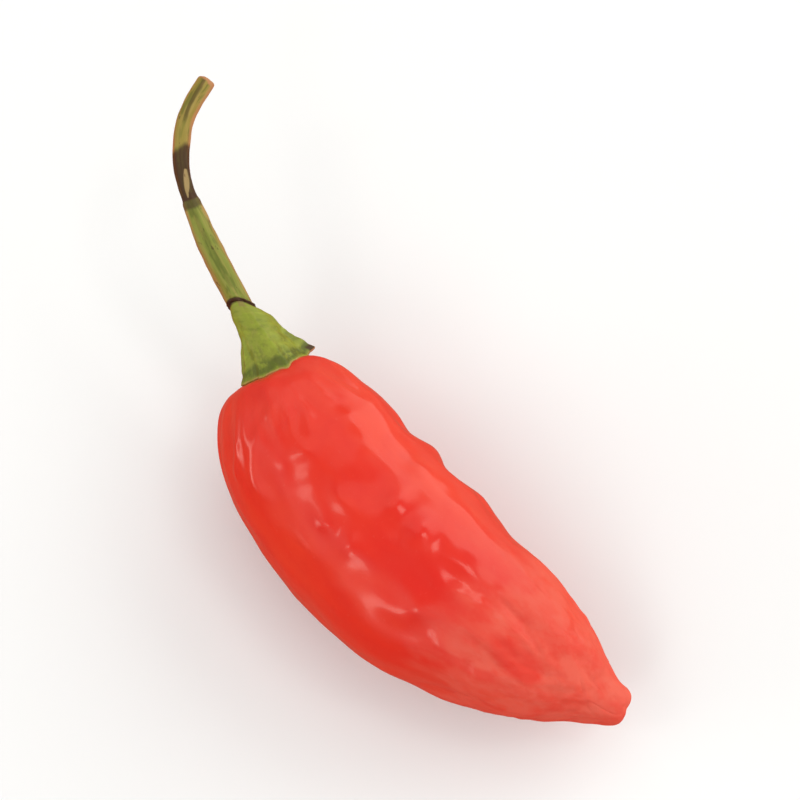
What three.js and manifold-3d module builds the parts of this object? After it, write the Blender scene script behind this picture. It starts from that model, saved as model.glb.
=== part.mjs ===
// One picked chilli pepper lying on its side: a plump red pod, the green calyx that caps it, and the curved stem
// with its woody collar and cut end.
// Millimetres, +Z up. +X runs along the pod from its stem end to its tip, +Y is the side the stem bends towards,
// and the origin is on the surface the pod lies on, under the middle of the pepper's outline.
import * as THREE from "three";
import { mergeVertices } from "three/addons/utils/BufferGeometryUtils.js";
import Module from "manifold-3d";

const DEGREE = Math.PI / 180;
const UP = new THREE.Vector3(0, 0, 1);

// The places below are measured from the calyx's seat. This is the middle of the outline there.
const OUTLINE_CENTRE = [17.15, 0.54];

// Pod: the line through its middle, from the shoulder to just past the tip.
const POD_SPINE = [
  [-0.3, -0.9, 17.0],
  [11.0, -4.3, 14.3],
  [22.9, -6.2, 13.15],
  [35.0, -6.4, 12.9],
  [46.9, -4.7, 12.7],
  [58.4, -2.0, 11.2],
  [66.5, -0.1, 10.1],
  [71.6, 1.75, 9.4],
];
// Pod: [distance along the spine, radius] from the dimple under the calyx to the tip.
const POD_PROFILE = [
  [1.3, 0],
  [1.0, 1.6],
  [0.5, 3.6],
  [0.3, 5.2],
  [0.9, 7.1],
  [2.7, 9.1],
  [5.4, 10.8],
  [9.0, 12.4],
  [13.5, 13.6],
  [18.5, 14.1],
  [24.0, 14.5],
  [29.5, 14.8],
  [35.0, 14.7],
  [40.5, 14.0],
  [46.0, 13.0],
  [51.5, 12.0],
  [56.5, 10.6],
  [61.0, 8.8],
  [64.5, 6.7],
  [67.5, 4.7],
  [70.0, 3.55],
  [71.7, 3.05],
  [72.6, 2.4],
  [72.9, 1.5],
  [72.75, 0.6],
  [72.7, 0],
];
const POD_LENGTH = 72.9;
const POD_RINGS_PER_POINT = 3;
const POD_SIDES = 48;
const POD_FLATNESS = 0.93; // height over width of the pod's section
const POD_FADE_RADIUS = 5; // the relief dies away where the pod is thinner than this

// Relief of the pod's skin, in millimetres. Angles go round the spine from the +Y side, over the top.
const LOBE_HEIGHT = 0.42;
const PLEATS = 11;
const PLEAT_HEIGHT = 0.22;
const PLEAT_AT = 4.5;
const PLEAT_REACH = 3.4;
// Lumps and dents: [distance along the spine, angle in degrees, half length, half width, height].
const LUMPS = [
  [13, 44, 9, 4.5, 0.45],
  [30, 52, 10, 4.0, 0.45],
  [44, 50, 6, 3.5, 0.35],
  [19.5, 5, 2.6, 5, -0.65],
  [24.6, 5, 2.4, 5, 0.5],
  [30, 5, 2.6, 5, -0.85],
  [36.5, 4, 3.2, 5, 0.6],
  [45.8, 5, 2.8, 5, -0.55],
  [55, 4, 4.5, 5, 0.5],
  [21.5, 111, 5, 3.5, -0.2],
  [29, 74, 2.8, 2.6, 0.35],
  [35.5, 77, 2.6, 2.4, 0.4],
  [29.2, 109, 3.2, 3.2, 0.35],
  [44.7, 76, 2.6, 2.6, 0.4],
  [40.4, 110, 3.6, 3.0, 0.35],
  [52, 84, 8, 1.5, -0.4],
  [51, 118, 5, 3.5, -0.4],
  [11, 150, 7, 4, 0.15],
  [24, 80, 3.5, 2.4, -0.35],
  [60, 60, 6, 2.2, -0.35],
  [64, 120, 5, 2.0, 0.3],
  [36, 150, 9, 4.5, 0.3],
  [28, 178, 8, 5, -0.35],
  [50, 170, 5.5, 4.5, -0.8],
  [65.5, 10, 4, 4, 0.3],
];
// Small lumps spread evenly round the whole pod, by turning a golden angle from one to the next.
const GRAIN_COUNT = 120;
const GRAIN_TURN = 137.508;
const GRAIN_SIZE = 2.6;
const GRAIN_HEIGHT = 0.22;

// Stalk: the line through the calyx and the stem, from inside the pod's shoulder to the cut end.
const STALK_PATH = [
  [4.6, -1.8, 15.2],
  [0, 0, 17.2],
  [-9.1, 2.5, 20.6],
  [-18.3, 5.1, 24.0],
  [-23.7, 7.2, 25.9],
  [-26.7, 8.6, 26.8],
  [-29.6, 10.7, 27.5],
  [-32.7, 14.2, 28.1],
  [-34.3, 17.6, 28.1],
  [-35.7, 22.2, 27.6],
];
const NECK_AT = 15.3; // where the calyx ends and the stem's collar begins, along the stalk
const TOUCH_GAP = 0.3; // clearance between pieces that touch

// Calyx: [distance along the stalk, radius] from the skirt, cut away by the pod, to the neck.
const CALYX_PROFILE = [
  [1.0, 4.9],
  [4.2, 5.4],
  [5.6, 4.9],
  [6.4, 4.6],
  [7.8, 4.05],
  [9.8, 3.3],
  [11.8, 2.6],
  [13.8, 2.05],
  [NECK_AT, 1.7],
];
const CALYX_SIDES = 40;
const TEETH = 5;
const TOOTH_LENGTH = 0.55;
const RIB_HEIGHT = 0.03; // share of the radius
const SHOULDER_HEIGHT = 0.8; // how much the calyx swells on its +Y side, towards the neck
const TEETH_TURN = 30 * DEGREE;

// Stem: [distance from the neck, radius] of the woody collar, the waist and the flared cut end.
const STEM_PROFILE = [
  [0, 1.66],
  [0.35, 1.78],
  [0.9, 1.7],
  [3.5, 1.72],
  [9.0, 1.7],
  [12.0, 1.6],
  [14.9, 1.4],
  [17.4, 1.12],
  [21.1, 1.12],
  [23.4, 1.2],
  [29.1, 1.24],
  [31.6, 1.28],
  [35.4, 1.34],
  [35.8, 1.2],
];
const STEM_SIDES = 20;
const STEM_RIDGES = 5;
const RIDGE_HEIGHT = 0.04; // share of the radius
const RIDGE_TWIST = 4 * DEGREE; // turn of the ridges per millimetre

const smooth = (x) => {
  const t = THREE.MathUtils.clamp(x, 0, 1);
  return t * t * (3 - 2 * t);
};
const bell = (x) => Math.exp(-x * x);
const turnBetween = (a, b) => Math.atan2(Math.sin(a - b), Math.cos(a - b));

function smoothPath(points) {
  const places = points.map(([x, y, z]) => new THREE.Vector3(x, y, z));
  return new THREE.CatmullRomCurve3(places, false, "catmullrom", 0.5);
}

// A smooth line through [distance, radius] points, closed by a flat disc or a point at each end.
function profile(points, steps) {
  const side = new THREE.SplineCurve(points.map(([d, r]) => new THREE.Vector2(r, d)));
  const line = side.getPoints(steps * (points.length - 1));
  const [first, last] = [line[0], line.at(-1)];
  if (first.x > 0) line.unshift(new THREE.Vector2(0, first.y));
  if (last.x > 0) line.push(new THREE.Vector2(0, last.y));
  return line;
}

// A body turned from the profile and laid along the path. radiusAt(distance, angle, radius) shapes its section.
function grown(line, sides, path, radiusAt, flatness = 1) {
  const turned = new THREE.LatheGeometry(line, sides);
  turned.deleteAttribute("normal");
  turned.deleteAttribute("uv");
  const body = mergeVertices(turned);
  const position = body.getAttribute("position");
  const length = path.getLength();
  for (let i = 0; i < position.count; i++) {
    const distance = position.getY(i);
    const angle = Math.atan2(position.getX(i), position.getZ(i));
    const radius = radiusAt(distance, angle, Math.hypot(position.getX(i), position.getZ(i)));
    const along = path.getTangentAt(distance / length);
    const side = UP.clone().cross(along).normalize();
    const rise = along.clone().cross(side);
    const point = path.getPointAt(distance / length);
    point.addScaledVector(side, radius * Math.cos(angle));
    point.addScaledVector(rise, radius * flatness * Math.sin(angle));
    position.setXYZ(i, point.x, point.y, point.z);
  }
  return body;
}

function lump(distance, angle, radius, [at, degrees, halfLength, halfWidth, height]) {
  const across = turnBetween(angle, degrees * DEGREE) * radius;
  return height * bell((distance - at) / halfLength) * bell(across / halfWidth);
}

function grain(distance, angle, radius) {
  let height = 0;
  for (let i = 0; i < GRAIN_COUNT; i++) {
    const at = (POD_LENGTH * (i + 0.5)) / GRAIN_COUNT;
    const size = GRAIN_SIZE * (1 + 0.3 * Math.sin(i * 1.7));
    const sign = i % 2 ? -1 : 1;
    height += lump(distance, angle, radius, [at, i * GRAIN_TURN, size * 1.4, size, sign * GRAIN_HEIGHT]);
  }
  return height;
}

function podRelief(distance, angle, radius) {
  const lobes = 0.6 * Math.cos(4 * angle - Math.PI) + 0.4 * Math.cos(3 * angle + 2.2);
  const pleats = Math.cos(PLEATS * angle + 0.8 * Math.sin(2 * angle)) * bell((distance - PLEAT_AT) / PLEAT_REACH);
  const lumps = LUMPS.reduce((sum, each) => sum + lump(distance, angle, radius, each), 0);
  const relief = LOBE_HEIGHT * lobes + PLEAT_HEIGHT * pleats + lumps + grain(distance, angle, radius);
  return relief * smooth(radius / POD_FADE_RADIUS);
}

// The pod. It is flat where it rests.
function podGeometry() {
  const body = podSkin();
  const position = body.getAttribute("position");
  for (let i = 0; i < position.count; i++) position.setZ(i, Math.max(0, position.getZ(i)));
  return body;
}

// A copy of the pod, thicker all round, to cut the calyx's seat with.
function podCutter(thicker) {
  const body = podSkin();
  body.computeVertexNormals();
  const position = body.getAttribute("position");
  const normal = body.getAttribute("normal");
  for (let i = 0; i < position.count; i++) {
    const point = new THREE.Vector3().fromBufferAttribute(position, i);
    point.addScaledVector(new THREE.Vector3().fromBufferAttribute(normal, i), thicker);
    position.setXYZ(i, point.x, point.y, point.z);
  }
  body.deleteAttribute("normal");
  return body;
}

function podSkin() {
  const line = profile(POD_PROFILE, POD_RINGS_PER_POINT);
  const radiusAt = (distance, angle, radius) => radius + podRelief(distance, angle, radius);
  return grown(line, POD_SIDES, smoothPath(POD_SPINE), radiusAt, POD_FLATNESS);
}

const stalk = smoothPath(STALK_PATH);

function calyxGeometry() {
  return grown(profile(CALYX_PROFILE, 2), CALYX_SIDES, stalk, (distance, angle, radius) => {
    const points = Math.cos(TEETH * (angle - TEETH_TURN));
    const towardsRim = smooth((NECK_AT - distance) / 9);
    const shoulder = SHOULDER_HEIGHT * Math.max(0, -Math.cos(angle)) * bell((NECK_AT - distance - 2.2) / 2.6);
    const teeth = TOOTH_LENGTH * Math.max(0, points) ** 3 * towardsRim ** 4;
    return radius * (1 + RIB_HEIGHT * points * towardsRim) + shoulder + teeth;
  });
}

function stemGeometry() {
  const line = profile(STEM_PROFILE, 3).map((p) => new THREE.Vector2(p.x, p.y + NECK_AT + TOUCH_GAP));
  return grown(line, STEM_SIDES, stalk, (distance, angle, radius) => {
    return radius * (1 + RIDGE_HEIGHT * Math.cos(STEM_RIDGES * angle + RIDGE_TWIST * STEM_RIDGES * distance));
  });
}

const wasm = await Module();
wasm.setup();

function solid(geometry) {
  return new wasm.Manifold(
    new wasm.Mesh({
      numProp: 3,
      vertProperties: geometry.getAttribute("position").array,
      triVerts: new Uint32Array(geometry.index.array),
    }),
  );
}

function geometryOf(shape) {
  const { numVert, vertProperties, triVerts } = shape.getMesh();
  return new THREE.BufferGeometry()
    .setAttribute("position", new THREE.BufferAttribute(vertProperties.slice(0, 3 * numVert), 3))
    .setIndex(new THREE.BufferAttribute(triVerts, 1));
}

const pepper = new THREE.Group();
pepper.position.set(-OUTLINE_CENTRE[0], -OUTLINE_CENTRE[1], 0);

function add(name, geometry, color, roughness) {
  const piece = new THREE.Mesh(geometry, new THREE.MeshStandardMaterial({ color, roughness, metalness: 0 }));
  piece.name = name;
  pepper.add(piece);
}

add("pod", podGeometry(), "#e0392b", 0.25);
add("calyx", geometryOf(solid(calyxGeometry()).subtract(solid(podCutter(TOUCH_GAP)))), "#8a9a3a", 0.55);
add("stem", stemGeometry(), "#7c8438", 0.65);

export default pepper;
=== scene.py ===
"""A picked chilli pepper lying on its side: the skins, finishes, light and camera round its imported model.

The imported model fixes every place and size. The pod, the calyx and the stem are built here again from the
same lines and outlines, much finer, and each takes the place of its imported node.
"""

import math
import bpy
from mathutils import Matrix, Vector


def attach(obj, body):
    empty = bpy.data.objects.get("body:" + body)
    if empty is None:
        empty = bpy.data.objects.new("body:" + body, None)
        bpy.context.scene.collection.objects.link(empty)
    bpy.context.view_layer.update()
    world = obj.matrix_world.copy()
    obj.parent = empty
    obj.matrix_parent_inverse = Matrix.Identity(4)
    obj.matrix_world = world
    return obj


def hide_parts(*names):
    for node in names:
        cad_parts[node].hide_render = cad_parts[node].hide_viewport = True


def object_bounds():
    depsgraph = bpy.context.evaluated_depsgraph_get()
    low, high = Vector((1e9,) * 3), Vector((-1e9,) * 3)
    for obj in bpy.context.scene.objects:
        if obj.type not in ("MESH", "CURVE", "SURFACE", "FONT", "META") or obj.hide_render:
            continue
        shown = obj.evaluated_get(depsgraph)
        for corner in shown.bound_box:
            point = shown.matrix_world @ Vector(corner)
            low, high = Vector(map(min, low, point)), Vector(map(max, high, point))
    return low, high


bl_info = {
    "name": "Chilli Pepper",
    "version": (1, 0, 0),
    "blender": (4, 5, 0),
    "location": "3D View > Sidebar > Pepper",
    "description": "Builds one picked chilli pepper, its finishes and a plain studio",
    "category": "Add Mesh",
}

import bpy
import numpy as np
from bpy.props import FloatProperty, FloatVectorProperty, IntProperty, PointerProperty
from mathutils import Vector
from mathutils.bvhtree import BVHTree

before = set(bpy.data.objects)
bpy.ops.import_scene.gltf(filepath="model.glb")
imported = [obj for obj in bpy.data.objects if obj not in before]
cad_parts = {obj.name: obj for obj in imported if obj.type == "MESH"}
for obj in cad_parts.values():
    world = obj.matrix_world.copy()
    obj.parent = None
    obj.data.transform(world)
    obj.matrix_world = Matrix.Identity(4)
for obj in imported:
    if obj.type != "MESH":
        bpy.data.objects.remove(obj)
CAD_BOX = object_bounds()

MM = 0.001  # every length below is in millimetres, and Blender's are in metres

# The places below are measured from the calyx's seat. This is the middle of the outline there.
OUTLINE_CENTRE = (17.15, 0.54)

# Pod: the line through its middle, from the shoulder to just past the tip.
POD_SPINE = [
    (-0.3, -0.9, 17.0),
    (11.0, -4.3, 14.3),
    (22.9, -6.2, 13.15),
    (35.0, -6.4, 12.9),
    (46.9, -4.7, 12.7),
    (58.4, -2.0, 11.2),
    (66.5, -0.1, 10.1),
    (71.6, 1.75, 9.4),
]
# Pod: (distance along the spine, radius) from the dimple under the calyx to the tip.
POD_PROFILE = [
    (1.3, 0),
    (1.0, 1.6),
    (0.5, 3.6),
    (0.3, 5.2),
    (0.9, 7.1),
    (2.7, 9.1),
    (5.4, 10.8),
    (9.0, 12.4),
    (13.5, 13.6),
    (18.5, 14.1),
    (24.0, 14.5),
    (29.5, 14.8),
    (35.0, 14.7),
    (40.5, 14.0),
    (46.0, 13.0),
    (51.5, 12.0),
    (56.5, 10.6),
    (61.0, 8.8),
    (64.5, 6.7),
    (67.5, 4.7),
    (70.0, 3.55),
    (71.7, 3.05),
    (72.6, 2.4),
    (72.9, 1.5),
    (72.75, 0.6),
    (72.7, 0),
]
POD_LENGTH = 72.9
POD_FLATNESS = 0.93  # height over width of the pod's section
POD_FADE_RADIUS = 5  # the relief dies away where the pod is thinner than this

# Relief of the pod's skin. Angles go round the spine from the +Y side, over the top.
LOBE_HEIGHT = 0.42
PLEATS = 11
PLEAT_HEIGHT = 0.22
PLEAT_AT = 4.5
PLEAT_REACH = 3.4
# Lumps and dents: (distance along the spine, angle in degrees, half length, half width, height).
LUMPS = [
    (13, 44, 9, 4.5, 0.45),
    (30, 52, 10, 4.0, 0.45),
    (44, 50, 6, 3.5, 0.35),
    (19.5, 5, 2.6, 5, -0.65),
    (24.6, 5, 2.4, 5, 0.5),
    (30, 5, 2.6, 5, -0.85),
    (36.5, 4, 3.2, 5, 0.6),
    (45.8, 5, 2.8, 5, -0.55),
    (55, 4, 4.5, 5, 0.5),
    (21.5, 111, 5, 3.5, -0.2),
    (29, 74, 2.8, 2.6, 0.35),
    (35.5, 77, 2.6, 2.4, 0.4),
    (29.2, 109, 3.2, 3.2, 0.35),
    (44.7, 76, 2.6, 2.6, 0.4),
    (40.4, 110, 3.6, 3.0, 0.35),
    (52, 84, 8, 1.5, -0.4),
    (51, 118, 5, 3.5, -0.4),
    (11, 150, 7, 4, 0.15),
    (24, 80, 3.5, 2.4, -0.35),
    (60, 60, 6, 2.2, -0.35),
    (64, 120, 5, 2.0, 0.3),
    (36, 150, 9, 4.5, 0.3),
    (28, 178, 8, 5, -0.35),
    (50, 170, 5.5, 4.5, -0.8),
    (65.5, 10, 4, 4, 0.3),
]
# Small swellings of the skin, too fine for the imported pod, in the same terms. They catch the light.
SWELLINGS = [
    (6.6, 108, 1.3, 0.9, 0.14),
    (13.5, 100, 1.4, 1.4, 0.25),
    (29.5, 113, 1.5, 1.5, 0.28),
    (29.3, 79, 2.0, 1.9, 0.44),
    (34.5, 79, 2.1, 2.0, 0.44),
    (44.5, 91, 1.5, 1.3, 0.22),
    (47.5, 90, 1.2, 1.2, 0.2),
    (41.5, 115, 1.5, 1.4, 0.28),
    (46, 126, 1.6, 1.4, 0.26),
]
# Folds and creases: height, half width, and the line that each follows, as (distance, angle in degrees).
FOLDS = [
    (0.15, 0.9, [(4.9, 105), (6.8, 118), (9, 128), (11, 134), (13, 137.5), (15, 137.5)]),
    (0.2, 0.6, [(7.6, 142), (9.5, 147), (11, 150)]),
    (0.12, 0.8, [(6.5, 66), (9, 62), (12, 62)]),
    (0.2, 1.7, [(17.6, 107), (21, 110), (24, 113)]),
    (0.1, 0.7, [(24, 116), (25.5, 112), (25.5, 108)]),
    (0.1, 0.9, [(5.5, 84), (8, 84), (11, 88)]),
    (-0.26, 0.5, [(49.5, 80), (53.4, 83)]),
    (0.18, 0.8, [(50.5, 88), (52.9, 91), (55.6, 94)]),
    (-0.26, 0.5, [(53.8, 87), (56.9, 94)]),
    (0.1, 0.7, [(56.5, 95), (61, 98)]),
    (-0.22, 0.5, [(50, 128), (50.5, 137)]),
    (-0.22, 0.6, [(48, 112), (51, 114), (53.5, 120)]),
    (-0.2, 0.6, [(52, 104), (56.1, 110), (60, 109)]),
    (-0.12, 0.5, [(62, 75), (66, 84)]),
    (-0.12, 0.5, [(63, 128), (67, 120)]),
    (-0.12, 0.5, [(70.5, 60), (72.4, 75)]),
]
TIP_NOTCH = 0.18  # depth of the groove across the tip's blunt end
TIP_WRINKLES = (43, 58)  # where they fade in, and are at full depth
SHOULDER_FOLDS = (14, 5)  # likewise, going back from the tip
SHOULDER_PLEATS = 30
# Small lumps spread evenly round the whole pod, by turning a golden angle from one to the next.
GRAIN_COUNT = 120
GRAIN_TURN = 137.508
GRAIN_SIZE = 2.6
GRAIN_HEIGHT = 0.22

# Stalk: the line through the calyx and the stem, from inside the pod's shoulder to the cut end.
STALK_PATH = [
    (4.6, -1.8, 15.2),
    (0, 0, 17.2),
    (-9.1, 2.5, 20.6),
    (-18.3, 5.1, 24.0),
    (-23.7, 7.2, 25.9),
    (-26.7, 8.6, 26.8),
    (-29.6, 10.7, 27.5),
    (-32.7, 14.2, 28.1),
    (-34.3, 17.6, 28.1),
    (-35.7, 22.2, 27.6),
]
NECK_AT = 15.3  # where the calyx ends and the stem's collar begins, along the stalk

# Calyx: its neck, its rim, and how it flares from one to the other.
NECK_RADIUS = 1.7
RIM_RADIUS = 5.35
FLARE = 1.25
TEETH = 5
TEETH_TURN = math.radians(30)
TOOTH_LENGTH = 0.7
CURLED_TOOTH = math.radians(174)  # the tooth that has dried and curled away from the pod
RIM_CORNER = 0.2  # side of the rim's sharp corner, in radians
RIM_LIFT = 0.15  # how far the rim's upper face stands off the pod's skin, along the stalk
# Rings that round the rim's edge and lead under it: how far inside the rim and how far below it.
RIM_RINGS = ((0.01, 0.1), (0.12, 0.22), (0.4, 0.3), (1.6, 0.4), (3.6, 0.8))
CALYX_FOOT = 2.0  # where the hidden underside closes, along the stalk
# The neck's edge is an arch: how much further along the stalk it is on the -Y side, on top, and all round.
NECK_ARCH = (1.1, 1.6, -0.6)
NECK_TUCK = 0.15  # how far the neck reaches into the collar

# Stem: (distance from the neck, radius) of the woody collar, the waist and the flared cut end.
STEM_PROFILE = [
    (-0.4, 1.5),
    (0, 1.66),
    (0.2, 1.77),
    (0.4, 1.77),
    (0.65, 1.7),
    (1.6, 1.72),
    (3.5, 1.72),
    (6.0, 1.74),
    (9.0, 1.7),
    (12.0, 1.6),
    (14.9, 1.4),
    (16.0, 1.3),
    (16.6, 1.28),
    (17.4, 1.12),
    (19.4, 1.1),
    (21.1, 1.12),
    (23.4, 1.2),
    (26.2, 1.24),
    (29.1, 1.24),
    (31.6, 1.28),
    (33.7, 1.33),
    (35.4, 1.34),
    (35.8, 1.2),
]
STEM_FROM_NECK = 0.3  # where the stem's distances start, past the neck
# The pale scar's line, as (distance, angle in degrees).
STEM_SCAR = [(17.4, 78), (19.4, 106), (21.3, 118)]
# Rings inside the cut's edge: share of the way out from its middle, and how far each is sunk.
CUT_RINGS = ((0.82, 0.02), (0.55, 0.22), (0.25, 0.3))
PITH_SUNK = 0.35
STEM_RIDGES = 5
RIDGE_HEIGHT = 0.04  # share of the radius
RIDGE_TWIST = math.radians(4)  # turn of the ridges per millimetre

# How finely each line and skin is made.
PATH_STEPS = 400  # from each point of a path to the next
POD_STEPS = 11  # rings to each point of the profile
POD_SIDES = 288
CALYX_ROWS = 72
CALYX_SIDES = 240
STEM_STEPS = 16
STEM_SIDES = 72


def colour(red, green, blue):
    """A colour read in the usual 0 to 255 steps, as the light values that Blender works with."""
    steps = np.array([red, green, blue]) / 255
    light = np.where(steps <= 0.04045, steps / 12.92, ((steps + 0.055) / 1.055) ** 2.4)
    return tuple(float(v) for v in light)


def colour_choice(name, description, default):
    return FloatVectorProperty(
        name=name, description=description, default=default, subtype="COLOR", min=0, max=1, size=3
    )


def depth_choice(name, description, default):
    return FloatProperty(name=name, description=description, default=default, min=0, max=0.5)


class PepperSkin(bpy.types.PropertyGroup):
    """The pod's colours and how strongly its skin is folded."""

    red: colour_choice("Red", "Main colour of the ripe skin", colour(211, 38, 31))
    # Orange is also painted on the pod's lit flanks, as light.
    orange: colour_choice("Orange", "Colour of the patches that ripened last", colour(221, 60, 38))
    crimson: colour_choice("Crimson", "Colour of the ripest patches", colour(203, 25, 28))
    # The tip's paler colour is partly painted sheen.
    tip: colour_choice("Tip", "Paler colour of the wrinkled tip", colour(219, 100, 87))
    folds: depth_choice("Folds", "Depth of the soft folds, in millimetres", 0.12)
    wrinkles: depth_choice("Wrinkles", "Depth of the tip's wrinkles, in millimetres", 0.2)
    blisters: IntProperty(
        name="Blisters", description="How many small swellings", default=70, min=0, max=300
    )


class PepperGreens(bpy.types.PropertyGroup):
    """Colours of the calyx and the stem."""

    calyx: colour_choice("Calyx", "Main colour of the calyx", colour(127, 142, 44))
    bright: colour_choice("Calyx light", "Paler patches of the calyx", colour(145, 162, 52))
    # Over the calyx's rim band this dark green is painted shade.
    shade: colour_choice("Shade", "Dark green of the calyx's band and of streaks", colour(82, 97, 28))
    rim: colour_choice("Dried rim", "Tan edge of the calyx", colour(168, 143, 88))
    stem: colour_choice("Stem", "Main colour of the stem", colour(122, 134, 53))
    aged: colour_choice("Stem end", "Olive of the stem's older end", colour(146, 128, 60))
    bark: colour_choice("Bark", "Brown of the collar, the waist and the dried tooth", colour(60, 36, 16))
    worn: colour_choice("Worn neck", "Grey-brown patch at the top of the calyx", colour(128, 112, 68))
    scar: colour_choice("Scar", "Pale scar at the waist", colour(152, 132, 90))
    # On the stem's sides this cream is a painted rim highlight.
    cut: colour_choice("Cut end", "Cream of the dried cut and of the stem's edges", colour(174, 126, 86))


class PepperStudio(bpy.types.PropertyGroup):
    """The floor, the light and the camera."""

    light: colour_choice("Light", "Colour of all the light", (1, 0.93, 0.81))
    floor: colour_choice("Floor", "Colour of the floor", (0.83, 0.89, 1.0))
    bounce: colour_choice("Bounce", "Colour that the floor throws back at the pepper", (0.64, 0.17, 0.13))
    glow: colour_choice("Glow", "Colour that the floor on the window's side throws back", (0.75, 0.5, 0.42))
    backdrop: colour_choice("Backdrop", "Colour behind the floor's edge", (1, 1, 1))
    brightness: FloatProperty(
        name="Brightness", description="Strength of all the light", default=0.8, min=0, max=5
    )
    distance: FloatProperty(
        name="Distance", description="From the camera to the pepper", default=0.453, min=0.1, unit="LENGTH"
    )
    azimuth: FloatProperty(
        name="Azimuth", description="The camera's side", default=math.radians(45), subtype="ANGLE"
    )
    elevation: FloatProperty(
        name="Elevation", description="The camera's height", default=math.radians(75.2), subtype="ANGLE"
    )


GROUPS = {"pepper_skin": PepperSkin, "pepper_greens": PepperGreens, "pepper_studio": PepperStudio}


# Lines, outlines and random heights


def smooth_line(points, steps):
    """A Catmull-Rom line through all of the points but the first and the last, as rows of coordinates."""
    p = np.array(points, float)
    w = (np.arange(steps) / steps)[:, None, None]
    before, start, end, after = p[:-3], p[1:-2], p[2:-1], p[3:]
    leaving = (end - before) / 2
    arriving = (after - start) / 2
    bend = 2 * start - 2 * end + leaving + arriving
    turn = 3 * end - 3 * start - 2 * leaving - arriving
    line = ((bend * w + turn) * w + leaving) * w + start
    return np.vstack([line.transpose(1, 0, 2).reshape(-1, p.shape[1]), p[-2]])


def outline(profile, steps):
    """The (distance, radius) profile as a smooth line, as two columns."""
    return smooth_line([profile[0], *profile, profile[-1]], steps).T


class Path:
    """A smooth line through points, read by the distance along it."""

    def __init__(self, points):
        first, second = np.array(points[:2], float)
        last_but_one, last = np.array(points[-2:], float)
        ends = [2 * first - second, *points, 2 * last - last_but_one]
        self.line = smooth_line(ends, PATH_STEPS)
        lengths = np.linalg.norm(np.diff(self.line, axis=0), axis=1)
        self.distance = np.concatenate([[0], np.cumsum(lengths)])
        self.along = np.gradient(self.line, self.distance, axis=0)

    def read(self, rows, distance):
        columns = [np.interp(distance, self.distance, rows[:, k]) for k in range(3)]
        return np.stack(columns, -1)

    def directions(self, distance):
        """Unit directions along the path, to its left and upwards."""
        along = unit(self.read(self.along, distance))
        side = unit(np.cross([0.0, 0.0, 1.0], along))
        return along, side, np.cross(along, side)

    def place(self, distance, sideways, upwards):
        _, side, rise = self.directions(distance)
        middle = self.read(self.line, distance)
        return middle + side * sideways[..., None] + rise * upwards[..., None]


def unit(vectors):
    return vectors / np.maximum(np.linalg.norm(vectors, axis=-1, keepdims=True), 1e-12)


def fade(low, high, value):
    """0 below low, 1 above high, and smooth between them. Low may be the greater, to fade out."""
    t = np.clip((value - low) / (high - low), 0, 1)
    return t * t * (3 - 2 * t)


def bell(x):
    return np.exp(-x * x)


def waves(points, lengths, seed, count=36):
    """Smooth random heights, mostly from -1 to 1, in waves about as long as lengths along each axis."""
    draw = np.random.default_rng(seed)
    directions = unit(draw.normal(size=(count, 3))) * draw.uniform(0.7, 1.3, (count, 1))
    phase = draw.uniform(0, 2 * math.pi, count)
    turns = (points / np.array(lengths, float)) @ directions.T
    return np.cos(2 * math.pi * turns + phase).sum(-1) / math.sqrt(2 * count)


def lump(distance, angle, radius, at, degrees, half_length, half_width, height):
    turn = angle - math.radians(degrees)
    across = np.arctan2(np.sin(turn), np.cos(turn)) * radius
    return height * bell((distance - at) / half_length) * bell(across / half_width)


# Meshes


def grid_faces(rows, sides):
    """Quads of a grid that closes round its sides, with one point before it and one after it."""
    faces = []
    last = 1 + rows * sides
    for j in range(sides):
        k = (j + 1) % sides
        faces.append((0, 1 + k, 1 + j))
        faces.extend(
            (1 + i * sides + j, 1 + i * sides + k, 1 + (i + 1) * sides + k, 1 + (i + 1) * sides + j)
            for i in range(rows - 1)
        )
        faces.append((last - sides + j, last - sides + k, last))
    return faces


def grid_normals(points):
    """Outward directions of a grid whose rows run along a body and whose columns close round it."""
    down = np.gradient(points, axis=0)
    round_it = np.roll(points, -1, axis=1) - np.roll(points, 1, axis=1)
    return unit(np.cross(round_it, down))


def skin_object(name, grid, first, last, marks):
    """A closed skin over a grid of points in millimetres, with its finish's guides stored on them."""
    rows, sides = grid.shape[:2]
    points = np.vstack([first, grid.reshape(-1, 3), last])
    points[:, 0] -= OUTLINE_CENTRE[0]
    points[:, 1] -= OUTLINE_CENTRE[1]
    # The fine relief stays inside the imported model's box.
    low, high = (np.array(corner) / MM for corner in CAD_BOX)
    points = np.clip(points, low, high)
    mesh = bpy.data.meshes.new(name)
    mesh.from_pydata((points * MM).tolist(), [], grid_faces(rows, sides))
    for mark, (before, values, after) in marks.items():
        stored = np.vstack([before, values.reshape(-1, 3), after]).astype(np.float32)
        mesh.attributes.new(mark, "FLOAT_VECTOR", "POINT").data.foreach_set("vector", stored.ravel())
    mesh.polygons.foreach_set("use_smooth", [True] * len(mesh.polygons))
    mesh.validate()
    made = bpy.data.objects.new(name, mesh)
    bpy.context.scene.collection.objects.link(made)
    return made


def dress(piece, node, finish):
    """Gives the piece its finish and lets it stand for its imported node."""
    piece.data.materials.append(finish)
    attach(piece, "root")
    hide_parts(node)


# Pod


def from_line(distance, angle, radius, line):
    """How far points of the skin are from a line of (distance, angle) points, in millimetres."""
    nearest = np.full_like(distance, np.inf)
    for (d0, a0), (d1, a1) in zip(line, line[1:]):
        turn = angle - math.radians(a0)
        across = np.arctan2(np.sin(turn), np.cos(turn)) * radius
        along = distance - d0
        length = d1 - d0
        width = math.radians(a1 - a0) * radius
        share = np.clip((along * length + across * width) / (length**2 + width**2), 0, 1)
        nearest = np.minimum(nearest, np.hypot(along - share * length, across - share * width))
    return nearest


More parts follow.
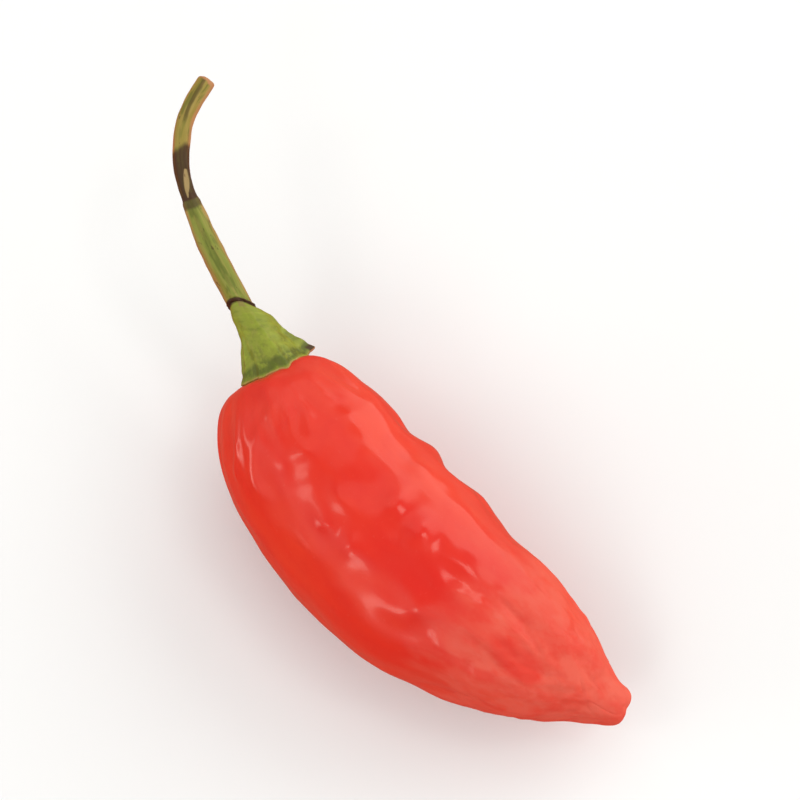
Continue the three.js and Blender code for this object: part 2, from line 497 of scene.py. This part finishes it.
def grain(distance, angle, radius):
    height = np.zeros_like(distance)
    for i in range(GRAIN_COUNT):
        at = POD_LENGTH * (i + 0.5) / GRAIN_COUNT
        size = GRAIN_SIZE * (1 + 0.3 * math.sin(i * 1.7))
        sign = -1 if i % 2 else 1
        height += lump(distance, angle, radius, at, i * GRAIN_TURN, size * 1.4, size, sign * GRAIN_HEIGHT)
    return height


def pod_relief(distance, angle, radius):
    """The lobes, pleats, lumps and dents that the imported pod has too."""
    lobes = 0.6 * np.cos(4 * angle - math.pi) + 0.4 * np.cos(3 * angle + 2.2)
    pleats = np.cos(PLEATS * angle + 0.8 * np.sin(2 * angle)) * bell((distance - PLEAT_AT) / PLEAT_REACH)
    lumps = sum(lump(distance, angle, radius, *each) for each in LUMPS)
    relief = LOBE_HEIGHT * lobes + PLEAT_HEIGHT * pleats + lumps + grain(distance, angle, radius)
    return relief * fade(0, POD_FADE_RADIUS, radius)


def blisters(distance, angle, radius, count):
    """Small swellings, scattered with a fixed seed."""
    draw = np.random.default_rng(7)
    height = np.zeros_like(distance)
    for _ in range(count):
        at = draw.uniform(4, 66)
        degrees = draw.uniform(0, 360)
        size = draw.uniform(0.9, 1.7)
        long = size * draw.uniform(1.0, 1.8)
        height += lump(distance, angle, radius, at, degrees, long, size, draw.uniform(0.06, 0.16))
    return height


def fine_relief(skin, distance, angle, radius, looks):
    """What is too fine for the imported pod: soft folds, blisters, and the tip's wrinkles."""
    tip = fade(*TIP_WRINKLES, distance)
    shoulder = fade(*SHOULDER_FOLDS, distance)
    swells = 0.11 * waves(skin, (8, 8, 15), 1) + 0.06 * waves(skin, (4, 4, 6), 6)
    folds = looks.folds * waves(skin, (3.6, 3.6, 17), 2) * (0.5 + 0.5 * np.maximum(tip, shoulder))
    pleats = np.cos(SHOULDER_PLEATS * angle + 3 * waves(skin, (9, 9, 9), 8)) * bell((distance - 7) / 3.5)
    creases = bell(waves(skin, (3, 3, 7), 3) / 0.12) * fade(-0.2, 0.6, waves(skin, (6, 6, 6), 4))
    puckers = waves(skin, (1.6, 1.6, 2.4), 5)
    wrinkles = looks.wrinkles * (0.3 * puckers - 0.6 * creases) * tip
    scattered = blisters(distance, angle, radius, looks.blisters)
    placed = sum(lump(distance, angle, radius, *each) for each in SWELLINGS)
    placed += sum(
        height * bell(from_line(distance, angle, radius, line) / half_width)
        for height, half_width, line in FOLDS
    )
    notch = TIP_NOTCH * bell(skin[..., 0] / 0.7) * fade(POD_LENGTH - 1, POD_LENGTH - 0.3, distance)
    return (swells + folds + 0.045 * pleats + wrinkles + scattered + placed) * fade(0.5, 5, radius) - notch


def pod_grid(looks):
    """Points of the pod's skin in rings, and the same points on the straightened pod."""
    spine = Path(POD_SPINE)
    distances, radii = outline(POD_PROFILE, POD_STEPS)
    angles = np.arange(POD_SIDES) * 2 * math.pi / POD_SIDES
    distance, angle = np.meshgrid(distances[1:-1], angles, indexing="ij")
    radius = np.repeat(radii[1:-1, None], POD_SIDES, axis=1)
    shaped = radius + pod_relief(distance, angle, radius)
    grid = spine.place(distance, shaped * np.cos(angle), shaped * POD_FLATNESS * np.sin(angle))
    skin = np.stack([radius * np.cos(angle), radius * np.sin(angle), distance], -1)
    grid += grid_normals(grid) * fine_relief(skin, distance, angle, radius, looks)[..., None]
    ends = spine.place(distances[[0, -1]], np.zeros(2), np.zeros(2))
    grid[..., 2] = np.maximum(grid[..., 2], 0)
    return grid, skin, ends, distances[[0, -1]]


def make_pod(looks):
    grid, skin, ends, at = pod_grid(looks)
    marks = {"skin": ((0, 0, at[0]), skin, (0, 0, at[1]))}
    return skin_object("pod_skin", grid, ends[0], ends[1], marks)


# Calyx


def neck_arch(angle):
    return NECK_ARCH[0] * np.cos(angle) + NECK_ARCH[1] * np.sin(angle) + NECK_ARCH[2]


def cup_radius(share, rim, angle):
    """The calyx's radius from its neck, at share 0, to its rim. It has a shoulder on its +Y side."""
    right, left = np.maximum(0, -np.cos(angle)), np.maximum(0, np.cos(angle))
    cone = NECK_RADIUS + (rim - NECK_RADIUS) * share**FLARE
    shoulder = 0.9 * right * bell((share - 0.2) / 0.25) * fade(0, 0.07, share)
    return cone + shoulder + left * (0.5 * fade(0.75, 1, share) - 0.75 * fade(0.1, 0.5, share))


def make_calyx(pod):
    """A flared cup from the stalk's neck to a thin scalloped rim that lies on the pod's shoulder."""
    stalk = Path(STALK_PATH)
    surface = BVHTree.FromObject(pod, bpy.context.evaluated_depsgraph_get())
    angles = np.arange(CALYX_SIDES) * 2 * math.pi / CALYX_SIDES
    points = np.cos(TEETH * (angles - TEETH_TURN))
    ring = np.stack([np.cos(angles), np.sin(angles), np.zeros_like(angles)], -1)
    ragged = 0.26 * waves(ring * 5, (2.2, 2.2, 2.2), 11) + 0.14 * waves(ring * 5, (0.7, 0.7, 0.7), 12)
    curl = bell((angles - CURLED_TOOTH) / 0.16)
    corner = bell((angles - RIM_CORNER) / 0.13)
    rim = RIM_RADIUS + TOOTH_LENGTH * np.maximum(0, points) ** 5 + 0.4 * curl + 0.8 * corner
    edge = cup_radius(np.ones(CALYX_SIDES), rim, angles) + ragged
    seats = [seat_distance(stalk, surface, a, r) for a, r in zip(angles, edge)]
    seat = np.array(seats) + 1.5 * curl
    neck = NECK_AT + NECK_TUCK + neck_arch(angles)
    share = 1 - (1 - np.linspace(0, 1, CALYX_ROWS)) ** 1.3
    share, angle = np.meshgrid(share, angles, indexing="ij")
    distance = neck + (seat - neck) * share
    skin = np.stack([ring[:, 0] * share * 5, ring[:, 1] * share * 5, share * 10], -1)
    rib = 0.03 * points * fade(0.1, 0.8, share)
    groove = -0.2 * bell((share - 0.9) / 0.05) * (0.6 + 0.6 * waves(skin, (3, 3, 3), 15))
    bumps = 0.13 * waves(skin, (2.2, 2.2, 3.0), 13) + 0.05 * waves(skin, (0.9, 0.9, 1.5), 14)
    cup = cup_radius(share, rim, angle) * (1 + rib)
    radius = cup + groove + bumps * fade(0, 0.25, share) + ragged * share**6
    outer = stalk.place(distance, radius * np.cos(angle), radius * np.sin(angle))
    under = under_rim(stalk, angles, distance[-1], radius[-1])
    grid = np.vstack([outer, under])
    below = np.full((len(under), CALYX_SIDES), 1.05)
    share = np.vstack([share, below])
    dryness = 0.35 + 0.65 * bell((angles - CURLED_TOOTH) / 0.5)
    teeth = np.broadcast_to(np.maximum(0, points) * dryness, share.shape)
    marks = np.stack([share, teeth, np.broadcast_to(np.sin(angles), share.shape)], -1)
    skin = np.vstack([skin, np.repeat(skin[-1:], len(under), axis=0)])
    top = stalk.place(np.array([NECK_AT]), np.zeros(1), np.zeros(1))
    bottom = stalk.place(np.array([CALYX_FOOT]), np.zeros(1), np.zeros(1))
    stored = {
        "skin": ((0, 0, 0), skin, (0, 0, 10)),
        "marks": ((0, 0, 0), marks, (1.05, 0, 0)),
    }
    return skin_object("calyx_cup", grid, top, bottom, stored)


def seat_distance(stalk, surface, angle, radius):
    """How far along the stalk the pod's skin lies, that far from the stalk on that side."""
    outwards = np.array([[radius * math.cos(angle)], [radius * math.sin(angle)]])
    start = stalk.place(np.array([NECK_AT]), *outwards)
    along, _, _ = stalk.directions(np.array([NECK_AT * 0.4]))
    origin = (start[0] - [OUTLINE_CENTRE[0], OUTLINE_CENTRE[1], 0]) * MM
    hit, _, _, reach = surface.ray_cast(Vector(origin), Vector(-along[0]))
    if hit is None:
        raise RuntimeError("the calyx's rim misses the pod")
    return NECK_AT - reach / MM + RIM_LIFT


def under_rim(stalk, angles, distance, radius):
    """The rounded edge of the rim and its underside, tucked towards the pod."""
    rows = []
    for inset, drop in RIM_RINGS:
        r = np.maximum(radius - inset, 0.4)
        rows.append(stalk.place(distance - drop, r * np.cos(angles), r * np.sin(angles)))
    return np.array(rows)


# Stem


def make_stem():
    """The woody collar, the ridged and bent stem, and its dried cut end."""
    stalk = Path(STALK_PATH)
    distances, radii = outline(STEM_PROFILE, STEM_STEPS)
    angles = np.arange(STEM_SIDES) * 2 * math.pi / STEM_SIDES
    along, angle = np.meshgrid(distances, angles, indexing="ij")
    distance = along + NECK_AT + STEM_FROM_NECK + neck_arch(angle) * fade(6, 0, along)
    radius = np.repeat(radii[:, None], STEM_SIDES, axis=1)
    ridge = np.cos(STEM_RIDGES * (angle + RIDGE_TWIST * distance))
    skin = np.stack([radius * np.cos(angle), radius * np.sin(angle), along], -1)
    fibres = 0.04 * waves(skin, (0.8, 0.8, 9), 21) + 0.04 * waves(skin, (1.4, 1.4, 2.4), 22)
    collar = 0.16 * waves(skin, (0.7, 0.7, 0.4), 23) * bell((along - 0.4) / 0.4)
    scar = -0.1 * bell(from_line(along, angle, radius, STEM_SCAR) / 0.35)
    radius = radius * (1 + RIDGE_HEIGHT * ridge) + fibres + collar + scar
    grid = stalk.place(distance, radius * np.cos(angle), radius * np.sin(angle))
    cut = cut_end(stalk, grid[-1], distance[-1, 0])
    grid = np.vstack([grid, cut])
    depth = np.array([0.8, 0.5, 0.25])[:, None, None] * [1, 1, 0]
    skin = np.vstack([skin, skin[-1] * depth + [0, 0, along[-1, 0] + 1]])
    from_scar = from_line(along, angle, radii[:, None], STEM_SCAR)
    round_it = np.stack([np.cos(angle), np.sin(angle), from_scar], -1)
    round_it = np.vstack([round_it, round_it[-len(CUT_RINGS) :]])
    middles = np.array([distance[0].min(), distance[-1, 0] - PITH_SUNK])
    ends = stalk.place(middles, np.zeros(2), np.zeros(2))
    marks = {
        "skin": ((0, 0, along[0, 0]), skin, (0, 0, along[-1, 0] + 1)),
        "around": ((0, 0, 9), round_it, (0, 0, 9)),
    }
    return skin_object("stem_stalk", grid, ends[0], ends[1], marks)


def cut_end(stalk, edge, distance):
    """Rings inside the cut's edge, sunk a little, as the pith dries back."""
    middle = stalk.place(np.array([distance]), np.zeros(1), np.zeros(1))[0]
    along, _, _ = stalk.directions(np.array([distance]))
    rows = []
    for share, sunk in CUT_RINGS:
        rows.append(middle + (edge - middle) * share - along[0] * sunk)
    return np.array(rows)


# Finishes

WAX_IOR = 1.38
WAX_ROUGHNESS = 0.13
FLESH_SHEEN = 0.14  # specular level of the flesh under the wax
TISSUE_IOR = 1.4


class Wire:
    """A socket of a finish's nodes that Python's arithmetic works on, with a Math node for each step."""

    def __init__(self, finish, socket):
        self.finish = finish
        self.socket = socket

    def other(self, name):
        """Another output of the same node."""
        return Wire(self.finish, self.socket.node.outputs[name])

    def maths(self, operation, *values):
        sockets = dict(enumerate(values))
        return self.finish.node("ShaderNodeMath", {"operation": operation}, sockets)

    def __add__(self, other):
        return self.maths("ADD", self, other)

    def __radd__(self, other):
        return self.maths("ADD", other, self)

    def __sub__(self, other):
        return self.maths("SUBTRACT", self, other)

    def __rsub__(self, other):
        return self.maths("SUBTRACT", other, self)

    def __mul__(self, other):
        return self.maths("MULTIPLY", self, other)

    def __rmul__(self, other):
        return self.maths("MULTIPLY", other, self)

    def __truediv__(self, other):
        return self.maths("DIVIDE", self, other)

    def __rtruediv__(self, other):
        return self.maths("DIVIDE", other, self)

    def __pow__(self, other):
        return self.maths("POWER", self, other)


class Finish:
    """Node tree of a material or of the world, added to by one method."""

    def __init__(self, tree):
        self.tree = tree
        tree.nodes.clear()

    def node(self, kind, settings, sockets, out=0):
        """Adds a node, sets it up, feeds its sockets, and gives one of its outputs."""
        made = self.tree.nodes.new(kind)
        for name, value in settings.items():
            setattr(made, name, value)
        for name, value in sockets.items():
            if isinstance(value, Wire):
                self.tree.links.new(value.socket, made.inputs[name])
            else:
                made.inputs[name].default_value = value
        return Wire(self, made.outputs[out]) if len(made.outputs) else None

    def mark(self, name):
        """A guide that the mesh holds, as a vector."""
        return self.node("ShaderNodeAttribute", {"attribute_name": name}, {}, "Vector")

    def axes(self, vector):
        x = self.node("ShaderNodeSeparateXYZ", {}, {"Vector": vector}, "X")
        return x, x.other("Y"), x.other("Z")

    def noise(self, vector, size, detail=3.0, stretch=(1, 1, 1), rough=0.5):
        """Cloudy values from 0 to 1, whose clouds are about as wide as size."""
        turns = tuple(1 / (size * s) for s in stretch)
        scaled = self.node("ShaderNodeVectorMath", {"operation": "MULTIPLY"}, {0: vector, 1: turns})
        sockets = {"Vector": scaled, "Scale": 1.0, "Detail": detail, "Roughness": rough}
        return self.node("ShaderNodeTexNoise", {"noise_dimensions": "3D"}, sockets, 0)

    def step(self, value, low, high):
        """0 at low, 1 at high, and smooth between them. Low may be the greater."""
        flip = low > high
        sockets = {"Value": value, "From Min": min(low, high), "From Max": max(low, high)}
        rising = self.node("ShaderNodeMapRange", {"interpolation_type": "SMOOTHSTEP"}, sockets)
        return 1 - rising if flip else rising

    def mix(self, share, first, second):
        colours = [(*c, 1) if isinstance(c, tuple) else c for c in (first, second)]
        sockets = {0: share, 6: colours[0], 7: colours[1]}
        return self.node("ShaderNodeMix", {"data_type": "RGBA"}, sockets, 2)

    def bump(self, height, depth, strength=1.0):
        """Fine relief: height from 0 to 1 stands for depth, in millimetres."""
        sockets = {"Height": height, "Distance": depth * MM, "Strength": strength}
        return self.node("ShaderNodeBump", {}, sockets)

    def surface(self, sockets):
        shader = self.node("ShaderNodeBsdfPrincipled", {}, sockets)
        self.node("ShaderNodeOutputMaterial", {}, {"Surface": shader})


def material(name):
    made = bpy.data.materials.new(name)
    made.use_nodes = True
    return made, Finish(made.node_tree)


def pod_finish(looks):
    """Red skin, mottled from orange to crimson, with orange painted on the lit flanks as light, under wax
    that thins at the shoulder and the paler tip, whose paleness is partly painted sheen.
    """
    made, finish = material("pod_waxy_skin")
    skin = finish.mark("skin")
    side, top, distance = finish.axes(skin)
    clouds = finish.noise(skin, 9, 3, (1, 1, 2))
    patches = finish.noise(skin, 3.2, 3, (1, 1, 1.6))
    blotches = finish.noise(skin, 2.4, 3, (1, 1, 1.8), 0.6)
    specks = finish.noise(skin, 0.55, 2)
    far = finish.step(side, -2, 6)
    ripening = (distance + patches * 8 - 50) * (1 - far * 0.4) + (clouds - 0.5) * far * 18
    tip = finish.step(ripening, -4.5, 5)
    shoulder = finish.step(distance + patches * 6, 14, 7)
    end = finish.step(distance, 58, 67)
    mottle = finish.step(patches, 0.4, 0.58) * 0.28 + finish.step(blotches, 0.4, 0.58) * 0.25
    dull = tip * (0.42 + mottle + end * 0.2)
    # Painted light: the flanks are painted more orange where light falls on them, broken up by clouds.
    orange_lit_flanks = finish.step(side.maths("ABSOLUTE", side + 1) + clouds * 8, 9, 17)
    # The orange patches that ripened last are drawn more strongly on those painted flanks.
    late = finish.step(clouds, 0.35, 0.7) * (0.4 + orange_lit_flanks * 0.6)
    base = finish.mix(late, looks.red[:], looks.orange[:])
    base = finish.mix(orange_lit_flanks * 0.5, base, looks.orange[:])
    base = finish.mix(finish.step(patches, 0.5, 0.75) * 0.25, base, looks.crimson[:])
    # Painted sheen: the shoulder's pale tint is painted, and so is part of the tip's paleness; the rest is
    # the tip's own colour.
    base = finish.mix(dull * 0.85 + shoulder * 0.17, base, looks.tip[:])
    # Painted shade: the hollow on top of the tip is painted redder than the paler skin round it.
    hollow_shade = ((distance - 55) / 5) ** 2 + ((side + 3.6) / 2.6) ** 2 + patches
    hollow_shade = finish.step(hollow_shade, 1.7, 0.8) * finish.step(top, 2, 5)
    base = finish.mix(hollow_shade * 0.5, base, looks.red[:])
    base = finish.mix(finish.step(specks, 0.62, 0.8) * 0.12, base, looks.tip[:])
    # The wax gives the gloss, over flesh that is rougher everywhere.
    wax = 0.8 - tip * 0.42 - dull * 0.26 - shoulder * 0.22
    rough = 0.29 + patches * 0.06 + tip * 0.1 + dull * 0.12 + shoulder * 0.04
    pores = finish.noise(skin, 0.35, 2) * 0.6 + finish.noise(skin, 1.3, 2, (1, 1, 2)) * 0.4
    finish.surface(
        {
            "Base Color": base,
            "Roughness": rough,
            "Normal": finish.bump(pores, 0.02, 0.4),
            "Coat Weight": wax,
            "Coat Roughness": WAX_ROUGHNESS,
            "Coat IOR": WAX_IOR,
            "IOR": WAX_IOR,
            "Specular IOR Level": FLESH_SHEEN,
            "Subsurface Weight": 0.12,
            "Subsurface Radius": (1.0, 0.22, 0.1),
            "Subsurface Scale": 1.5 * MM,
        }
    )
    return made


def calyx_finish(looks):
    """Yellow-green tissue with fine veins, a mottled dark band over the rim that is painted shade, and a
    thin dried edge.
    """
    made, finish = material("calyx_tissue")
    skin = finish.mark("skin")
    share, teeth, upper = finish.axes(finish.mark("marks"))
    clouds = finish.noise(skin, 3, 3, (1, 1, 2))
    mottle = finish.noise(skin, 1.1, 3, (1, 1, 1.4), 0.6)
    fibres = finish.noise(skin, 0.5, 3, (1, 1, 4))
    flecks = finish.noise(skin, 0.4, 2)
    base = finish.mix(finish.step(mottle, 0.5, 0.62) * 0.4, looks.calyx[:], looks.shade[:])
    base = finish.mix(finish.step(mottle, 0.46, 0.34) * 0.5, base, looks.bright[:])
    base = finish.mix(finish.step(fibres, 0.5, 0.7) * 0.12, base, looks.rim[:])
    # Painted shade: a mottled dark green band over the rim, where the flared cup turns down to the pod.
    band = finish.step(share + clouds * 0.16, 0.88, 0.96) * finish.step(share, 1.0, 0.95)
    base = finish.mix(band * finish.step(mottle + clouds * 0.5, 0.5, 0.8) * 0.95, base, looks.shade[:])
    spots = finish.step(mottle, 0.6, 0.66) * finish.step(clouds, 0.5, 0.6)
    base = finish.mix(spots * 0.6, base, looks.shade[:])
    edge = finish.step(share + mottle * 0.02, 0.993, 1.003)
    base = finish.mix(edge * (0.4 + finish.step(mottle, 0.4, 0.55) * 0.5), base, looks.rim[:])
    dried = finish.step(share + clouds * 0.08, 0.93, 0.98) * finish.step(teeth + clouds * 0.2, 0.75, 0.9)
    base = finish.mix(dried * 0.95, base, looks.bark[:])
    base = finish.mix(finish.step(share, 1.0, 1.01) * dried * 0.8, base, looks.cut[:])
    base = finish.mix(finish.step(flecks, 0.66, 0.75) * 0.25, base, looks.bark[:])
    base = finish.mix(finish.step(share + upper * 0.05, 0.08, 0.04), base, looks.bark[:])
    worn = finish.step(share, 0.1, 0.06) * finish.step(upper + mottle * 0.04, 0.975, 1.01)
    base = finish.mix(worn * 0.7, base, looks.worn[:])
    finish.surface(
        {
            "Base Color": base,
            "Roughness": 0.42 + clouds * 0.2 + edge * 0.2,
            "Normal": finish.bump(mottle * 0.7 + fibres * 0.15 + flecks * 0.15, 0.1, 0.6),
            "IOR": TISSUE_IOR,
            "Subsurface Weight": 0.08,
            "Subsurface Radius": (0.6, 0.8, 0.2),
            "Subsurface Scale": 0.8 * MM,
        }
    )
    return made


def stem_finish(looks):
    """Green stem with pale edges painted on as a rim highlight, dark streaks, a black-brown collar and
    waist, and a cream cut end.
    """
    made, finish = material("stem_fibre")
    skin = finish.mark("skin")
    along = finish.axes(skin)[2]
    across, _, from_scar = finish.axes(finish.mark("around"))
    clouds = finish.noise(skin, 2.5, 3, (1, 1, 2))
    fibres = finish.noise(skin, 0.35, 3, (1, 1, 18))
    streaks = finish.noise(skin, 0.8, 2, (1, 1, 5))
    aged = finish.step(along + clouds * 2, 24.2, 26)
    base = finish.mix(aged * 0.8, looks.stem[:], looks.aged[:])
    base = finish.mix(finish.step(fibres, 0.42, 0.66) * 0.3, base, looks.rim[:])
    base = finish.mix(finish.step(streaks, 0.5, 0.62) * 0.6, base, looks.shade[:])
    middle = finish.step(across.maths("ABSOLUTE", across + clouds * 0.7 - 0.4), 0.35, 0.1)
    streaked = middle * finish.step(streaks, 0.35, 0.5)
    base = finish.mix(streaked * (0.5 - aged * 0.15), base, looks.shade[:])
    base = finish.mix(middle * finish.step(along + clouds * 2, 29, 31) * 0.6, base, looks.bark[:])
    # Painted rim highlight: the stem's two sides, its outline seen from above, are painted cream.
    rim_light_edges = finish.step(across.maths("ABSOLUTE", across) + fibres * 0.3, 0.86, 1.1)
    base = finish.mix(rim_light_edges * (0.55 + aged * 0.35), base, looks.cut[:])
    collar = finish.step(along + clouds * 0.4, 0.85, 0.6)
    node = finish.step(along + clouds * 1.2, 16.0, 16.6) * finish.step(along, 18.0, 17.3)
    waist = finish.step(along + clouds * 1.5, 17.6, 18.6)
    waist = waist * finish.step(along + clouds * 2 + across * 0.8, 26.0, 25.0)
    rusty = finish.step(fibres + clouds * 0.4, 0.45, 0.8)
    base = finish.mix(collar + node * 0.7 + waist * (0.82 + rusty * 0.15), base, looks.bark[:])
    taper = ((along - 19.7) / 2.1) ** 2
    scar = finish.step(from_scar + fibres * 0.2 + taper * 0.3, 0.62, 0.42)
    base = finish.mix(scar, base, looks.scar[:])
    specks = finish.step(finish.noise(skin, 0.45, 1, (1, 1, 2.5)), 0.68, 0.74)
    base = finish.mix(specks * 0.6, base, looks.bark[:])
    cut = finish.step(along + streaks * 0.6 - across * 0.3, 35.4, 35.8)
    base = finish.mix(cut, base, looks.cut[:])
    pith = finish.step(along, 36.2, 36.5) * finish.step(clouds, 0.45, 0.6)
    base = finish.mix(pith * 0.6, base, looks.bark[:])
    finish.surface(
        {
            "Base Color": base,
            "Roughness": 0.5 + fibres * 0.2,
            "Normal": finish.bump(fibres * 0.6 + streaks * 0.4, 0.12, 0.8),
            "IOR": TISSUE_IOR,
        }
    )
    return made


def floor_finish(studio):
    """White paper that throws back less light at the pepper than it shows, and least on the dark side."""
    made, finish = material("floor_paper")
    seen = finish.node("ShaderNodeLightPath", {}, {}, "Is Camera Ray")
    x, y, _ = finish.axes(finish.node("ShaderNodeTexCoord", {}, {}, "Object"))
    away = finish.step(x * math.sin(GLOW_SIDE) - y * math.cos(GLOW_SIDE), 0.02, 0.05)
    thrown = finish.mix(away, studio.bounce[:], studio.glow[:])
    finish.surface(
        {
            "Base Color": finish.mix(seen, thrown, studio.floor[:]),
            "Roughness": 0.9,
            "Specular IOR Level": 0.0,
        }
    )
    return made


# Studio

# Soft lights far off. In degrees: azimuth, half width and softness across, lowest and highest elevation and
# softness there. Then brightness. Azimuth 0 is the side that faces -Y and 90 the side that faces +X.
LIGHTS = {
    "window on the right": (172, 32, 14, -2, 47, 3, 3.1),
    "low strip on the left": (-44, 15, 6, 7, 21, 4, 6.2),
    "lamp on the left": (-35, 7, 4, 47, 63, 4, 4.5),
    "panel over the shoulder": (-132, 40, 10, 36, 78, 8, 1.15),
    "panel by the tip": (92, 40, 10, 5, 70, 8, 0.9),
    "panel at the front": (-8, 63, 25, 30, 60, 24, 1.5),
    "lamp above": (150, 12, 3, 57, 71, 2, 6.4),
    "lamp at the front": (14, 8, 3, 34, 50, 2, 5.5),
}
GLOW_SIDE = math.radians(160)  # the azimuth of the floor's lighter part
HORIZON_BRIGHTNESS = 0.3
CEILING_BRIGHTNESS = 0.45
CEILING_FROM = 40  # degrees above the horizon

AIM = (-0.0013, 0.0094, 0.015)  # what the camera looks at, in metres
LENS = 140
CLIPPING = (0.01, 20)  # metres from the camera to the nearest and the farthest thing that it sees
FLOOR_REACH = 6  # metres from the pepper to the floor's edge
FLOOR_SIDES = 96


def light_room(studio):
    """A dim room with soft lights round it. The camera sees a plain backdrop, as bright as the floor."""
    world = bpy.data.worlds.new("studio_room")
    bpy.context.scene.world = world
    world.use_nodes = True
    room = Finish(world.node_tree)
    towards = room.node("ShaderNodeTexCoord", {}, {}, "Generated")
    x, y, z = room.axes(towards)
    elevation = z.maths("ARCSINE", z) * math.degrees(1)
    rise = room.step(elevation, 0, CEILING_FROM) * (CEILING_BRIGHTNESS - HORIZON_BRIGHTNESS)
    brightness = rise + HORIZON_BRIGHTNESS
    for azimuth, half_width, blur, low, high, soft, strength in LIGHTS.values():
        turn = math.radians(azimuth)
        ahead = x * math.sin(turn) - y * math.cos(turn)
        aside = x * math.cos(turn) + y * math.sin(turn)
        away = ahead.maths("ABSOLUTE", ahead.maths("ARCTAN2", aside, ahead)) * math.degrees(1)
        across = room.step(away, half_width + blur, half_width - blur)
        height = room.step(elevation, low - soft, low + soft)
        height = height * room.step(elevation, high + soft, high - soft)
        brightness = brightness + across * height * strength
    brightness = brightness * studio.brightness
    lit = room.node("ShaderNodeBackground", {}, {"Color": (*studio.light[:], 1), "Strength": brightness})
    plain = room.node("ShaderNodeBackground", {}, {"Color": (*studio.backdrop[:], 1)})
    seen = room.node("ShaderNodeLightPath", {}, {}, "Is Camera Ray")
    shown = room.node("ShaderNodeMixShader", {}, {0: seen, 1: lit, 2: plain})
    room.node("ShaderNodeOutputWorld", {}, {"Surface": shown})


def make_floor(studio):
    mesh = bpy.data.meshes.new("floor")
    turns = np.arange(FLOOR_SIDES) * 2 * math.pi / FLOOR_SIDES
    corners = [(FLOOR_REACH * math.cos(t), FLOOR_REACH * math.sin(t), 0) for t in turns]
    mesh.from_pydata(corners, [], [tuple(range(FLOOR_SIDES))])
    floor = bpy.data.objects.new("floor", mesh)
    bpy.context.scene.collection.objects.link(floor)
    mesh.materials.append(floor_finish(studio))


def place_camera(studio):
    camera = bpy.data.objects.new("camera", bpy.data.cameras.new("camera"))
    bpy.context.scene.collection.objects.link(camera)
    around, above = studio.azimuth, studio.elevation
    back = Vector(
        (math.sin(around) * math.cos(above), -math.cos(around) * math.cos(above), math.sin(above))
    )
    camera.location = Vector(AIM) + back * studio.distance
    camera.rotation_euler = (math.pi / 2 - above, 0, around)
    camera.data.lens = LENS
    camera.data.clip_start, camera.data.clip_end = CLIPPING
    bpy.context.scene.camera = camera


# Operators, panel and the run itself


class PEPPER_OT_stage(bpy.types.Operator):
    """Make the floor, the light and the camera"""

    bl_idname = "pepper.stage"
    bl_label = "Studio"

    def execute(self, context):
        studio = context.scene.pepper_studio
        context.scene.view_settings.view_transform = "Standard"
        light_room(studio)
        make_floor(studio)
        place_camera(studio)
        return {"FINISHED"}


class PEPPER_OT_pod(bpy.types.Operator):
    """Make the pod's skin"""

    bl_idname = "pepper.pod"
    bl_label = "Pod"

    def execute(self, context):
        looks = context.scene.pepper_skin
        dress(make_pod(looks), "pod", pod_finish(looks))
        return {"FINISHED"}


class PEPPER_OT_calyx(bpy.types.Operator):
    """Make the calyx, seated on the pod's skin"""

    bl_idname = "pepper.calyx"
    bl_label = "Calyx"

    def execute(self, context):
        pod = bpy.data.objects["pod_skin"]
        dress(make_calyx(pod), "calyx", calyx_finish(context.scene.pepper_greens))
        return {"FINISHED"}


class PEPPER_OT_stem(bpy.types.Operator):
    """Make the stem with its collar and cut end"""

    bl_idname = "pepper.stem"
    bl_label = "Stem"

    def execute(self, context):
        dress(make_stem(), "stem", stem_finish(context.scene.pepper_greens))
        return {"FINISHED"}


class PEPPER_PT_maker(bpy.types.Panel):
    """Lists the pepper's settings and the buttons that make it"""

    bl_label = "Chilli Pepper"
    bl_space_type = "VIEW_3D"
    bl_region_type = "UI"
    bl_category = "Pepper"

    def draw(self, context):
        for group, kind in GROUPS.items():
            box = self.layout.box()
            for name in kind.__annotations__:
                box.prop(getattr(context.scene, group), name)
        for operator in OPERATORS:
            self.layout.operator(operator.bl_idname)


OPERATORS = (PEPPER_OT_stage, PEPPER_OT_pod, PEPPER_OT_calyx, PEPPER_OT_stem)
CLASSES = (*GROUPS.values(), *OPERATORS, PEPPER_PT_maker)


def register():
    for each in CLASSES:
        bpy.utils.register_class(each)
    for name, kind in GROUPS.items():
        setattr(bpy.types.Scene, name, PointerProperty(type=kind))


def unregister():
    for name in GROUPS:
        delattr(bpy.types.Scene, name)
    for each in reversed(CLASSES):
        bpy.utils.unregister_class(each)


def main():
    register()
    bpy.ops.pepper.stage()
    bpy.ops.pepper.pod()
    bpy.ops.pepper.calyx()
    bpy.ops.pepper.stem()


if __name__ == "__main__":
    main()
